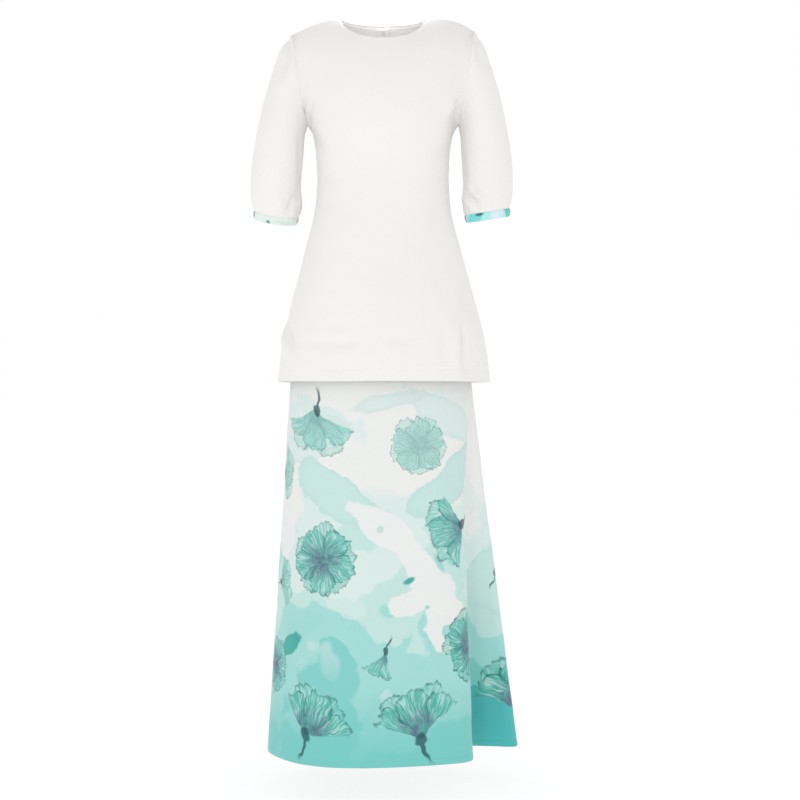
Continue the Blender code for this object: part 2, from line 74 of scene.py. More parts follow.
# Shape of the tunic, as in the frame's solids
NECK_HALF_WIDTH = 0.08
SHOULDER_Z = 0.0205
SHOULDER_FALL = 0.03
FRONT_NECK_DEPTH, FRONT_NECK_DROP = 0.08, 0.053
BACK_NECK_DEPTH, BACK_NECK_DROP = 0.045, 0.0035

Level = namedtuple("Level", "z half_width front back")
TUNIC_LEVELS = table(Level, (
    (-0.669, 0.1995, 0.15, 0.157),
    (-0.598, 0.1905, 0.141, 0.15),
    (-0.537, 0.1777, 0.132, 0.142),
    (-0.476, 0.162, 0.121, 0.131),
    (-0.4155, 0.1465, 0.11, 0.117),
    (-0.377, 0.136, 0.103, 0.105),
    (-0.347, 0.1295, 0.098, 0.095),
    (-0.3165, 0.1262, 0.095, 0.088),
    (-0.286, 0.1245, 0.093, 0.085),
    (-0.2555, 0.1252, 0.098, 0.087),
    (-0.225, 0.1282, 0.109, 0.093),
    (-0.2, 0.1335, 0.119, 0.099),
    (-0.17, 0.142, 0.126, 0.104),
))
TUNIC_SQUARENESS = 2.2
TUNIC_HEM_Z = -0.669
CHEST_Z = -0.2
WAISTBAND_TOP, WAISTBAND_BOTTOM = -0.262, -0.292
NECK_END, SHOULDER_END = 0.36, 0.62

YokePoint = namedtuple("YokePoint", "share x y z")
FRONT_YOKE = table(YokePoint, (
    (0, 0, -0.1085, -0.082),
    (0.18, 0.04, -0.102, -0.049),
    (NECK_END, 0.085, -0.085, -0.012),
    (SHOULDER_END, 0.158, -0.064, -0.038),
    (0.81, 0.15, -0.053, -0.131),
    (1, 0.139, 0, -0.19),
))
BACK_YOKE = table(YokePoint, (
    (0, 0, 0.098, -0.033),
    (0.18, 0.042, 0.092, -0.019),
    (NECK_END, 0.088, 0.078, -0.008),
    (SHOULDER_END, 0.158, 0.062, -0.038),
    (0.81, 0.151, 0.053, -0.131),
    (1, 0.139, 0, -0.19),
))

SleeveRing = namedtuple("SleeveRing", "along outer_x outer_z inner_x inner_z half_depth")
SLEEVE_RINGS = table(SleeveRing, (
    (0, 0.173, -0.0095, 0.143, -0.185, 0.055),
    (0.1, 0.1915, -0.032, 0.1446, -0.189, 0.0575),
    (0.22, 0.205, -0.0668, 0.1462, -0.1945, 0.06),
    (0.34, 0.216, -0.1035, 0.1478, -0.203, 0.0615),
    (0.46, 0.2275, -0.144, 0.1492, -0.218, 0.062),
    (0.58, 0.2365, -0.185, 0.1505, -0.239, 0.0615),
    (0.7, 0.2432, -0.225, 0.152, -0.265, 0.0605),
    (0.82, 0.248, -0.268, 0.1535, -0.295, 0.059),
    (0.92, 0.2485, -0.309, 0.1538, -0.324, 0.0545),
    (1, 0.243, -0.3395, 0.157, -0.3525, 0.046),
))
CUFF_HEIGHT = 0.0145
CUFF_TAPER = 0.0025
Arm = namedtuple("Arm", "name side lift seam_curve outward down nod_degrees")
ARMS = (Arm("left", 1, 0.006, 3.2, -0.0025, 0, 7), Arm("right", -1, 0, 1.55, 0.0025, 0.004, 14))
LIFT_END = 0.2

# Shape of the skirt; turn is in degrees round the hips, from the centre front to the wearer's left
SKIRT_LEVELS = table(Level, (
    (-0.66, 0.171, 0.127, 0.139),
    (-0.61, 0.1675, 0.1225, 0.136),
    (-0.552, 0.163, 0.118, 0.1315),
    (-0.494, 0.156, 0.113, 0.126),
    (-0.44, 0.145, 0.107, 0.117),
    (-0.39, 0.1325, 0.0995, 0.1025),
    (-0.342, 0.1248, 0.0935, 0.0895),
    (-0.315, 0.1232, 0.0915, 0.085),
    (-0.292, 0.1219, 0.0905, 0.0825),
))
SKIRT_SQUARENESS = 2.15
SKIRT_SHIFT = -0.004
SKIRT_HEM_Z = -1.36
FOLD_TOP = -0.66
FOLD_EASE = 1.02
HemPoint = namedtuple("HemPoint", "turn x y")
HEM = table(HemPoint, (
    (0, 0, -0.195),
    (18, 0.07, -0.18),
    (34, 0.122, -0.163),
    (46, 0.155, -0.145),
    (55, 0.1665, -0.118),
    (63, 0.16, -0.084),
    (70, 0.146, -0.052),
    (76, 0.141, -0.024),
    (81, 0.162, -0.002),
    (86, 0.205, -0.006),
    (91, 0.244, -0.012),
    (96, 0.256, 0.003),
    (104, 0.252, 0.03),
    (118, 0.232, 0.076),
    (134, 0.184, 0.113),
    (150, 0.128, 0.156),
    (166, 0.066, 0.172),
    (182, -0.004, 0.166),
    (198, -0.074, 0.179),
    (216, -0.138, 0.15),
    (234, -0.186, 0.104),
    (252, -0.211, 0.05),
    (268, -0.218, -0.005),
    (282, -0.212, -0.06),
    (296, -0.192, -0.106),
    (312, -0.156, -0.155),
    (328, -0.104, -0.188),
    (344, -0.05, -0.198),
))
LEFT_SEAM, RIGHT_SEAM = 76, 268

# Creases, as lines on the garment seen from in front or behind. Each is a soft trough with a lip beside
# it, strong at its first end if start is 1 and in its middle if start is 0; bow bends its middle.
Crease = namedtuple("Crease", "x1 z1 x2 z2 bow width depth lip start")
FRONT_CREASES = table(Crease, (
    (-0.13, -0.148, -0.1425, -0.2, 0.003, 0.0055, 0.0058, 0.5, 1),
    (0.139, -0.15, 0.1225, -0.21, -0.003, 0.007, 0.0085, 0.5, 1),
    (0.137, -0.164, 0.092, -0.203, -0.004, 0.007, 0.0026, 0.4, 1),
    (-0.133, -0.196, -0.098, -0.256, 0.004, 0.007, 0.0042, 0.4, 1),
    (0.133, -0.204, 0.096, -0.26, -0.004, 0.0085, 0.0022, 0.4, 1),
    (-0.126, -0.288, -0.07, -0.299, 0.002, 0.009, 0.0014, 0.5, 1),
    (0.127, -0.276, 0.066, -0.293, -0.002, 0.0095, 0.0016, 0.5, 1),
    (-0.128, -0.33, -0.08, -0.342, 0.002, 0.011, 0.0012, 0.5, 1),
    (0.13, -0.326, 0.084, -0.348, 0.002, 0.01, 0.0012, 0.5, 1),
    (-0.178, -0.542, -0.16, -0.623, 0.004, 0.006, 0.01, 0.6, 0),
    (-0.108, -0.558, -0.056, -0.57, 0.002, 0.011, 0.003, 0.4, 0),
    (-0.172, -0.599, -0.015, -0.594, 0.002, 0.01, 0.0036, 0.5, 0),
    (-0.005, -0.598, 0.062, -0.592, -0.002, 0.0095, 0.002, 0.5, 0),
    (-0.0045, -0.574, -0.002, -0.63, 0, 0.0034, 0.002, 0.4, 0),
    (0.152, -0.54, 0.156, -0.669, 0.002, 0.0075, 0.01, 0.6, 0),
    (0.1085, -0.54, 0.119, -0.65, 0.003, 0.011, 0.0024, 0.5, 0),
    (0.142, -0.425, 0.18, -0.595, 0.004, 0.012, 0.0028, 0.5, 0),
    (-0.137, -0.4, -0.156, -0.52, 0.004, 0.012, 0.0018, 0.5, 0),
))
BACK_CREASES = table(Crease, (
    (0.134, -0.14, 0.122, -0.212, -0.003, 0.0065, 0.005, 0.5, 1),
    (-0.135, -0.144, -0.118, -0.216, 0.003, 0.0065, 0.0046, 0.5, 1),
    (0.129, -0.2, 0.088, -0.238, -0.003, 0.008, 0.0026, 0.4, 1),
    (-0.129, -0.196, -0.082, -0.23, 0.003, 0.008, 0.003, 0.4, 1),
    (0.124, -0.26, 0.025, -0.276, 0.004, 0.008, -0.004, 0.1, 1),
    (-0.124, -0.27, -0.018, -0.284, -0.004, 0.008, -0.0042, 0.1, 1),
    (0.123, -0.302, 0.038, -0.315, -0.003, 0.0085, -0.0034, 0.1, 1),
    (-0.124, -0.31, -0.04, -0.329, 0.003, 0.0085, -0.0032, 0.1, 1),
    (0.11, -0.52, 0.122, -0.65, 0.003, 0.011, 0.0034, 0.5, 0),
    (-0.082, -0.5, -0.095, -0.66, -0.003, 0.012, 0.0036, 0.5, 0),
    (0.028, -0.53, 0.032, -0.66, 0.002, 0.01, 0.0026, 0.5, 0),
    (-0.162, -0.53, -0.172, -0.65, -0.002, 0.009, 0.0032, 0.5, 0),
))
# On the sleeves, x counts outward from the middle of the garment
SLEEVE_CREASES = {
    "right": table(Crease, (
        (0.165, -0.312, 0.183, -0.36, 0.003, 0.0045, 0.0098, 0.6, 0),
        (0.1585, -0.3, 0.164, -0.364, 0, 0.0036, 0.006, 0.4, 0),
        (0.157, -0.19, 0.159, -0.33, 0.001, 0.0036, 0.0052, 0.3, 0),
        (0.179, -0.018, 0.2, -0.118, 0.005, 0.011, 0.0125, 0.3, 1),
        (0.205, -0.315, 0.2, -0.362, 0.002, 0.005, 0.0026, 0.5, 0),
    )),
    "left": table(Crease, (
        (0.153, -0.31, 0.178, -0.346, -0.003, 0.0042, 0.0098, 0.6, 0),
        (0.167, -0.296, 0.185, -0.328, 0.002, 0.0046, 0.0046, 0.5, 0),
        (0.154, -0.22, 0.156, -0.32, 0.001, 0.004, 0.003, 0.2, 0),
        (0.179, -0.02, 0.196, -0.095, 0.004, 0.01, 0.009, 0.3, 1),
        (0.211, -0.308, 0.208, -0.35, 0.002, 0.005, 0.0022, 0.5, 0),
    )),
}
# The same on the skirt, whose creases are long and shallow
SKIRT_FRONT_CREASES = table(Crease, (
    (-0.09, -0.66, -0.118, -1.33, 0.004, 0.026, 0.002, 0.5, 0),
    (0.04, -0.66, 0.056, -1.28, 0.004, 0.03, 0.0016, 0.5, 0),
    (0.125, -0.64, 0.144, -1.2, 0.003, 0.016, 0.003, 0.6, 0),
    (-0.17, -0.76, -0.2, -1.34, 0.004, 0.018, 0.0026, 0.5, 0),
))
SKIRT_BACK_CREASES = table(Crease, (
    (0.1, -0.66, 0.15, -1.34, -0.004, 0.022, 0.005, 0.6, 0),
    (0.01, -0.7, 0.016, -1.35, 0.004, 0.024, 0.0044, 0.6, 0),
    (-0.08, -0.66, -0.13, -1.34, 0.004, 0.022, 0.005, 0.6, 0),
    (-0.15, -0.82, -0.186, -1.34, 0.003, 0.018, 0.0036, 0.5, 0),
))

# Strips of the zip; short counts the lines of the grid that are left out below the neck edge
Strip = namedtuple("Strip", "half_width bottom lift thickness columns step yoke_step short teeth")
ZIP_TAPE = Strip(0.011, -0.455, 0, 0.0006, 9, 0.004, 1 / 200, 6, 0)
ZIP_COIL = Strip(0.0022, -0.45, 0.001, 0.001, 5, 0.0007, 1 / 290, 8, 0.0014)

# Room: the strength of its white light straight overhead, where it is 1 at eye level, and its floor
CEILING_LIGHT = 0.76
FLOOR_Z = -1.43
FLOOR_SIZE = 60
FLOOR_LOOK = {
    "Base Color": (0.18, 0.18, 0.18, 1),
    "Roughness": 0.9,
    "Specular IOR Level": 0.0,
    "Emission Color": (1, 1, 1, 1),
    "Emission Strength": 0.86,
}
Lamp = namedtuple("Lamp", "name place target width height watts")
LAMPS = (
    Lamp("key", (-0.6, -3.0, -0.55), (0, 0, -0.65), 0.9, 0.9, 9.5),
    Lamp("neck", (0, -0.02, 0.046), (0, 0.05, -0.004), 0.12, 0.03, 0.11),
)
CAMERA_PLACE = (0.0323, -3.2, -0.7039)
LENS = 75.79  # millimetres, on a sensor 36 mm wide

# Colours, as red, green and blue from 0 to 255
# The weave colours below are painted shade: darker tones laid into the low pits of the weave's bump.
WHITE, WHITE_CLOUD, WHITE_WEAVE_SHADE = (240, 238, 237), (238, 236, 235), (228, 226, 225)
PRINT_WEAVE_SHADE = (150, 170, 170)
ENAMEL, ENAMEL_SPECK = (238, 237, 234), (222, 221, 218)
GROUND = (232, 233, 231)
PALE_WASH = (214, 230, 227)
LIGHT_WASH = (193, 224, 220)
MID_WASH = (161, 215, 210)
DEEP_WASH = (112, 198, 193)
REAR_WASH = (70, 180, 180)
TEAL = (44, 166, 154)
INK = (18, 74, 80)
VEIN = (12, 118, 114)
HEART = (88, 86, 126)
PETAL_PALE = (134, 211, 201)
PETAL_DEEP = (14, 152, 138)
LILAC = (218, 236, 244)
CUFF_GROUND = (172, 236, 234)
CUFF_WHITE = (230, 236, 231)
CUFF_AQUA = (124, 222, 220)
CUFF_TEAL = (98, 204, 188)
NAVY = (40, 62, 78)

# Washes and patches of the skirt's print, in metres across and up its cut cloth; the back is cut from
# the cloth that starts 0.85 m across. A ragged patch has a rough edge.
Patch = namedtuple("Patch", "x y half_width half_height turn ragged colour")
PATCHES = table(Patch, (
    (-0.135, 0.59, 0.095, 0.036, 24, 0.3, PALE_WASH),
    (0.13, 0.63, 0.09, 0.03, -30, 0.3, PALE_WASH),
    (0.01, 0.655, 0.075, 0.016, 10, 0.3, PALE_WASH),
    (-0.07, 0.48, 0.105, 0.04, -28, 0.26, LIGHT_WASH),
    (0.14, 0.51, 0.095, 0.036, 34, 0.26, LIGHT_WASH),
    (0.01, 0.425, 0.085, 0.03, -38, 0.2, GROUND),
    (0.082, 0.338, 0.09, 0.04, -56, 0.22, GROUND),
    (0.122, 0.252, 0.052, 0.046, -12, 0.26, GROUND),
    (0.052, 0.29, 0.05, 0.026, 12, 0.26, GROUND),
    (-0.215, 0.45, 0.055, 0.095, 12, 0.22, GROUND),
    (0.052, 0.33, 0.016, 0.007, 25, 0.34, TEAL),
    (0.108, 0.362, 0.024, 0.007, -60, 0.3, MID_WASH),
    (0, 0.424, 0.006, 0.006, 0, 0.3, LIGHT_WASH),
    (0.124, 0.236, 0.01, 0.013, 10, 0.3, MID_WASH),
    (0.086, 0.282, 0.005, 0.004, 0, 0.3, MID_WASH),
    (-0.188, 0.208, 0.034, 0.016, 34, 0.34, TEAL),
    (0.96, 0.58, 0.1, 0.14, 5, 0.2, GROUND),
    (0.955, 0.33, 0.1, 0.08, -8, 0.24, LIGHT_WASH),
    (0.955, 0.05, 0.1, 0.1, -16, 0.34, REAR_WASH),
    (1.1, 0.62, 0.09, 0.05, 15, 0.14, PALE_WASH),
    (1.33, 0.64, 0.11, 0.055, -15, 0.14, PALE_WASH),
    (1.14, 0.48, 0.095, 0.048, 30, 0.14, LIGHT_WASH),
    (1.48, 0.52, 0.09, 0.048, -20, 0.14, LIGHT_WASH),
    (1.19, 0.37, 0.1, 0.042, 42, 0.22, GROUND),
    (1.24, 0.27, 0.05, 0.07, 10, 0.24, GROUND),
    (1.5, 0.3, 0.05, 0.1, -18, 0.24, GROUND),
    (1.262, 0.244, 0.02, 0.008, -40, 0.3, MID_WASH),
    (1.165, 0.408, 0.007, 0.006, 0, 0.3, LIGHT_WASH),
    (1.51, 0.33, 0.013, 0.008, 40, 0.3, TEAL),
))

# Flowers of the print: open ones have a spread of 180 degrees, half-open ones and buds less
Flower = namedtuple("Flower", "x y radius turn spread petals depth")
FLOWERS = table(Flower, (
    (-0.12, 0.64, 0.092, 262, 64, 6, 0.3),
    (0.072, 0.575, 0.06, 20, 180, 5, 0.22),
    (0.17, 0.43, 0.092, 195, 58, 6, 0.7),
    (-0.108, 0.368, 0.072, 50, 180, 5, 0.85),
    (0.01, 0.205, 0.056, 245, 26, 3, 0.7),
    (-0.236, 0.318, 0.06, 10, 62, 6, 0.4),
    (0.182, 0.208, 0.072, 0, 180, 5, 1),
    (0.074, 0.05, 0.104, 104, 56, 6, 0.85),
    (-0.142, 0.052, 0.1, 66, 58, 6, 0.9),
    (-0.252, 0.165, 0.058, 0, 180, 5, 1),
    (0.236, 0.055, 0.056, 10, 180, 5, 0.95),
    (-0.24, 0.52, 0.066, 0, 60, 5, 0.35),
    (0, 0.84, 0.08, 90, 62, 5, 0.4),
    (0.925, 0.33, 0.066, 60, 26, 3, 0.85),
    (0.985, 0.07, 0.125, 100, 60, 6, 1),
    (1.065, 0.6, 0.096, 250, 64, 6, 0.35),
    (1.09, 0.29, 0.072, 0, 180, 5, 0.8),
    (1.225, 0.045, 0.105, 75, 60, 6, 0.8),
    (1.29, 0.5, 0.066, 40, 180, 5, 0.35),
    (1.33, 0.19, 0.06, 300, 26, 3, 0.65),
    (1.4, 0.055, 0.066, 0, 180, 5, 0.95),
    (1.43, 0.37, 0.098, 200, 60, 6, 0.65),
    (1.565, 0.055, 0.098, 100, 60, 6, 0.85),
    (1.57, 0.56, 0.062, 60, 180, 5, 0.35),
    (1.25, 0.84, 0.08, 270, 62, 5, 0.4),
))
BACK_PRINT_START = 0.85

# Patches of the cuffs' print, in metres round the cuff from its outer line and down it; the right cuff
# is cut from the cloth that starts 0.5 m across
RIGHT_CUFF_START = 0.5
CUFF_PATCHES = table(Patch, (
    (0.01, 0.007, 0.02, 0.03, 24, 0.2, CUFF_TEAL),
    (0.006, 0.003, 0.012, 0.006, 0, 0.2, TEAL),
    (0.052, 0.007, 0.012, 0.03, 10, 0.2, LILAC),
    (0.098, 0.007, 0.014, 0.03, -12, 0.2, CUFF_AQUA),
    (0.088, 0.002, 0.007, 0.003, 0, 0.2, VEIN),
    (0.136, 0.007, 0.008, 0.02, 14, 0.2, NAVY),
    (0.17, 0.009, 0.026, 0.009, 15, 0.2, MID_WASH),
    (0.215, 0.006, 0.018, 0.007, -20, 0.2, CUFF_WHITE),
    (0.25, 0.01, 0.012, 0.007, 0, 0.2, TEAL),
    (0.575, 0.007, 0.085, 0.03, 0, 0.1, CUFF_WHITE),
    (0.513, 0.006, 0.004, 0.005, 0, 0.2, NAVY),
    (0.557, 0.011, 0.0035, 0.003, 0, 0.2, PETAL_DEEP),
    (0.585, 0.009, 0.016, 0.003, 5, 0.2, PALE_WASH),
    (0.628, 0.009, 0.006, 0.006, 0, 0.2, NAVY),
    (0.7, 0.008, 0.026, 0.009, 15, 0.2, MID_WASH),
    (0.75, 0.008, 0.014, 0.008, 15, 0.2, TEAL),
))


# Curves through the tables

def slope(rows, index, column):
    before, after = rows[max(index - 1, 0)], rows[min(index + 1, len(rows) - 1)]
    return (after[column] - before[column]) / (after[0] - before[0])


@lru_cache(maxsize=None)
def between(rows, at):
    """The row at one place along a table's first column, on a smooth curve through its rows."""
    at = min(max(at, rows[0][0]), rows[-1][0])
    index = next(k for k in range(len(rows) - 1) if at <= rows[k + 1][0])
    span = rows[index + 1][0] - rows[index][0]
    t = (at - rows[index][0]) / span
    values = [at]
    for column in range(1, len(rows[0])):
        start, end = rows[index][column], rows[index + 1][column]
        leave, arrive = slope(rows, index, column) * span, slope(rows, index + 1, column) * span
        values.append(start * (1 + 2 * t) * (1 - t) ** 2 + leave * t * (1 - t) ** 2
                      + end * t * t * (3 - 2 * t) - arrive * t * t * (1 - t))
    return type(rows[0])(*values)


def bezier(p0, p1, p2, p3, t):
    s = 1 - t
    return p0 * s ** 3 + p1 * 3 * s * s * t + p2 * 3 * s * t * t + p3 * t ** 3


def smooth_step(low, high, value):
    """From 0 at low to 1 at high; works on numbers and on arrays."""
    t = np.clip((value - low) / (high - low), 0, 1)
    return t * t * (3 - 2 * t)


# Surfaces of the tunic, as in the frame's solids

def oval(level, squareness, turn):
    angle = turn * math.pi / 2
    across, ahead = math.sin(angle), math.cos(angle)
    depth = level.front if ahead > 0 else level.back
    x = math.copysign(abs(across) ** (2 / squareness), across) * level.half_width
    y = -math.copysign(abs(ahead) ** (2 / squareness), ahead) * depth
    return Vector((x, y, level.z))


def quarter(turn):
    turn %= 4
    side = 1 if turn <= 2 else -1
    front = turn <= 1 or turn > 3
    share = min(turn, 4 - turn) if front else abs(turn - 2)
    return side, front, share


def neck_point(share, front):
    angle = share / NECK_END * math.pi / 2
    depth, drop = (-FRONT_NECK_DEPTH, FRONT_NECK_DROP) if front else (BACK_NECK_DEPTH, BACK_NECK_DROP)
    return Vector((NECK_HALF_WIDTH * math.sin(angle), depth * math.cos(angle),
                   SHOULDER_Z - drop * math.cos(angle)))


def shoulder_point(arm, share):
    along = (share - NECK_END) / (SHOULDER_END - NECK_END)
    width = SLEEVE_RINGS[0].outer_x - NECK_HALF_WIDTH
    fall = (SHOULDER_FALL - arm.lift) * along ** arm.seam_curve
    return Vector((NECK_HALF_WIDTH + width * along, 0, SHOULDER_Z - fall))


def armhole_point(arm, share, front):
    around = (share - SHOULDER_END) / (1 - SHOULDER_END) * math.pi
    return sleeve_section(arm_ring(arm, 0), around if front else -around, 0)


@lru_cache(maxsize=None)
def top_edge(turn):
    side, front, share = quarter(turn)
    arm = next(arm for arm in ARMS if arm.side == side)
    if share <= NECK_END:
        point = neck_point(share, front)
    elif share <= SHOULDER_END:
        point = shoulder_point(arm, share)
    else:
        point = armhole_point(arm, share, front)
    return Vector((side * point.x, point.y, point.z))


def yoke_point(turn, rise):
    side, front, share = quarter(turn)
    chest = oval(between(TUNIC_LEVELS, CHEST_Z), TUNIC_SQUARENESS, turn)
    ahead = oval(between(TUNIC_LEVELS, CHEST_Z + 0.01), TUNIC_SQUARENESS, turn)
    top = top_edge(turn)
    leave = (ahead - chest).normalized() * (top - chest).length / 3
    yoke = between(FRONT_YOKE if front else BACK_YOKE, share)
    return bezier(chest, chest + leave, Vector((side * yoke.x, yoke.y, yoke.z)), top, rise)


def body_point(turn, height):
    """A point of the body; height is z up to the chest line, and then that line plus the rise above it."""
    if height <= CHEST_Z:
        return oval(between(TUNIC_LEVELS, height), TUNIC_SQUARENESS, turn)
    return yoke_point(turn, height - CHEST_Z)


def sleeve_section(ring, around, nod, ripple=0.0):
    outer, inner = Vector((ring.outer_x, 0, ring.outer_z)), Vector((ring.inner_x, 0, ring.inner_z))
    centre, reach = (outer + inner) / 2, (outer - inner) / 2
    forward = Vector((0, -math.cos(nod), -math.sin(nod))) * ring.half_depth
    swell = 1 + ripple / ring.half_depth
    return centre + (reach * math.cos(around) + forward * math.sin(around)) * swell


@lru_cache(maxsize=None)
def arm_ring(arm, along):
    ring = between(SLEEVE_RINGS, along)
    out, down = arm.outward * along, arm.down * along
    lift = arm.lift * (1 - float(smooth_step(0, LIFT_END, along)))
    return ring._replace(outer_x=ring.outer_x + out, inner_x=ring.inner_x + out,
                         outer_z=ring.outer_z - down + lift, inner_z=ring.inner_z - down)


def gather(along, around):
    """Uneven gathers of the cloth that is taken into the cuff."""
    fade = smooth_step(0.80, 0.965, along) * (1 - 0.7 * smooth_step(0.975, 1.0, along))
    short = smooth_step(0.88, 0.975, along)
    return float(fade * (0.0008 * math.cos(11 * around + 0.4) + 0.0005 * math.cos(7 * around + 2.0)
                         + short * 0.0006 * math.cos(26 * around + 1.1)))


def sleeve_point(arm, along, around):
    nod = math.radians(arm.nod_degrees) * along ** 2
    point = sleeve_section(arm_ring(arm, along), around, nod, gather(along, around))
    return Vector((arm.side * point.x, point.y, point.z))


def cuff_point(arm, down, around):
    seam = sleeve_point(arm, 1, around)
    centre = (sleeve_point(arm, 1, 0) + sleeve_point(arm, 1, math.pi)) / 2
    axis = (sleeve_point(arm, 1, 0) - centre).cross(sleeve_point(arm, 1, math.pi / 2) - centre)
    axis = axis.normalized() * (1 if axis.z < 0 else -1)
    return seam + axis * CUFF_HEIGHT * down + (centre - seam).normalized() * CUFF_TAPER * down


# Surface of the skirt

@lru_cache(maxsize=None)
def hem_point(turn):
    around = (HEM[-1]._replace(turn=HEM[-1].turn - 360), *HEM,
              *(point._replace(turn=point.turn + 360) for point in HEM[:2]))
    point = between(around, turn % 360)
    return Vector((point.x, point.y, SKIRT_HEM_Z))


def hip_point(turn, z):
    point = oval(between(SKIRT_LEVELS, z), SKIRT_SQUARENESS, turn / 90)
    point.x += SKIRT_SHIFT * float(smooth_step(SKIRT_LEVELS[-1].z, FOLD_TOP, z))
    return point


def skirt_point(turn, z):
    if z >= FOLD_TOP:
        return hip_point(turn, z)
    drop = (FOLD_TOP - z) / (FOLD_TOP - SKIRT_HEM_Z)
    point = hip_point(turn, FOLD_TOP).lerp(hem_point(turn), drop ** FOLD_EASE)
    point.z = z
    return point


# Grids of points

def places(start, end, step, marks=()):
    """Numbers from start to end, about a step apart, and closer together near the marks."""
    made = [start]
    while made[-1] < end:
        near = min([abs(made[-1] + step / 4 - mark) for mark in marks], default=1)
        made.append(made[-1] + step * min(max(near / (4 * step), 0.22), 1))
    made = np.array(made)
    return list(start + (made - start) * (end - start) / (made[-1] - start))


def circle(count):
    return [2 * math.pi * k / count for k in range(count)]


def grid(surface, across, up):
    return np.array([[surface(u, v) for u in across] for v in up])


def unit(vectors):
    return vectors / np.maximum(np.linalg.norm(vectors, axis=-1, keepdims=True), 1e-12)


def normals(points, closed=False, flip=False):
    """Outward normals of a grid of points."""
    if closed:
        across = np.roll(points, -1, axis=1) - np.roll(points, 1, axis=1)
    else:
        across = np.gradient(points, axis=1)
    up = np.gradient(points, axis=0)
    return unit(np.cross(across, up)) * (-1 if flip else 1)


def lengths(points, axis):
    """How far each point lies along its line of the grid, from the line's start."""
    steps = np.linalg.norm(np.diff(points, axis=axis), axis=-1)
    return np.concatenate([np.zeros_like(steps.take([0], axis)), np.cumsum(steps, axis=axis)], axis=axis)


def drape(points, size, seed):
    """Slow unevenness of hanging cloth, between -1 and 1."""
    shift = Vector((seed * 3.1, seed * 1.7, seed * 2.3))
    flat = points.reshape(-1, 3)
    return np.array([noise.noise(Vector(p) / size + shift) for p in flat]).reshape(points.shape[:2])


def crease_relief(points, out, creases, face, side=1):
    """How far creases move each point; face is -1 for those in front and 1 for those behind."""
    total = np.zeros(points.shape[:2])
    facing = smooth_step(-0.10, 0.25, face * out[..., 1])
    for crease in creases:
        run = np.array([crease.x2 - crease.x1, crease.z2 - crease.z1])
        length = np.hypot(*run)
        x, z = points[..., 0] * side - crease.x1, points[..., 2] - crease.z1
        t = (x * run[0] + z * run[1]) / length ** 2
        across = (x * run[1] - z * run[0]) / length - crease.bow * 4 * t * (1 - t)
        width = crease.width * (0.75 + 0.6 * np.clip(t, 0, 1))
        strong_start = smooth_step(-0.15, 0.12, t) * (1 - smooth_step(0.35, 1, t))
        strong_middle = smooth_step(-0.05, 0.45, t) * (1 - smooth_step(0.55, 1.05, t))
        taper = strong_start if crease.start else strong_middle
        trough = -np.exp(-(across / width) ** 2)
        lip = crease.lip * np.exp(-((across - 1.9 * width) / (1.4 * width)) ** 2)
        total += crease.depth * taper * (trough + lip) * facing
    return total


def groove(distance, depth=0.001, width=0.0022):
    return -depth * np.exp(-(distance / width) ** 2)


def off_seam(distance, reach=0.007):
    """Keeps creases from pulling two sewn pieces apart at their seam."""
    return smooth_step(0, reach, distance)


# Thin shells

def put(name, data):
    made = bpy.data.objects.new(name, data)
    bpy.context.scene.collection.objects.link(made)
    return made


def shell(name, outer, inner, pattern, closed, flip, free):
    """A closed thin piece between two grids of points; its free edges are rounded."""
    rows, columns = outer.shape[:2]
    middle = (outer + inner) / 2
    thick = np.linalg.norm(outer - inner, axis=-1, keepdims=True) * 0.45
    for edge, here, back in (("bottom", np.s_[0], np.s_[1]), ("top", np.s_[-1], np.s_[-2]),
                             ("left", np.s_[:, 0], np.s_[:, 1]), ("right", np.s_[:, -1], np.s_[:, -2])):
        if edge in free:
            middle[here] += unit(outer[here] - outer[back]) * thick[here]
    last = columns if closed else columns - 1
    r, c = (part.ravel() for part in np.mgrid[0:rows - 1, 0:last])
    front = np.stack([r, c, r, c + 1, r + 1, c + 1, r + 1, c], axis=1).reshape(-1, 4, 2)
    faces, bake = [], []
    for layer, quads, (left, width) in ((0, front, OUTER_BAKE), (1, front[:, ::-1], INNER_BAKE)):
        faces.append(np.dstack([np.full(quads.shape[:2], layer), quads]))
        place = np.stack([quads[..., 1] / last, quads[..., 0] / (rows - 1)], axis=-1)
        bake.append(place * (width, 1) + (left, 0))
    rims = [(0, last, True, True), (rows - 1, last, False, True)]
    if not closed:
        rims += [(0, rows - 1, False, False), (last, rows - 1, True, False)]
    for index, (line, count, backwards, across) in enumerate(rims):
        along = np.arange(count)
        a, b = (along + 1, along) if backwards else (along, along + 1)
        line = np.full(count, line)
        start, end = ((line, a), (line, b)) if across else ((a, line), (b, line))
        add_rim(faces, bake, start, end, a / count, b / count, RIM_BAKE[0] + NEXT_RIM * index)
    faces, bake = np.concatenate(faces), np.concatenate(bake)
    if flip:
        faces, bake = faces[:, ::-1], bake[:, ::-1]
    indices = (faces[..., 0] * rows + faces[..., 1]) * columns + faces[..., 2] % columns
    used, compact = np.unique(indices, return_inverse=True)
    points = np.concatenate([outer.reshape(-1, 3), inner.reshape(-1, 3), middle.reshape(-1, 3)])[used]
    data = bpy.data.meshes.new(name)
    data.from_pydata(points.tolist(), [], compact.reshape(-1, 4).tolist())
    keep_uv(data, "Print", pattern[faces[..., 1], faces[..., 2]])
    keep_uv(data, "OFBake", bake)
    data.shade_smooth()
    return put(name, data)


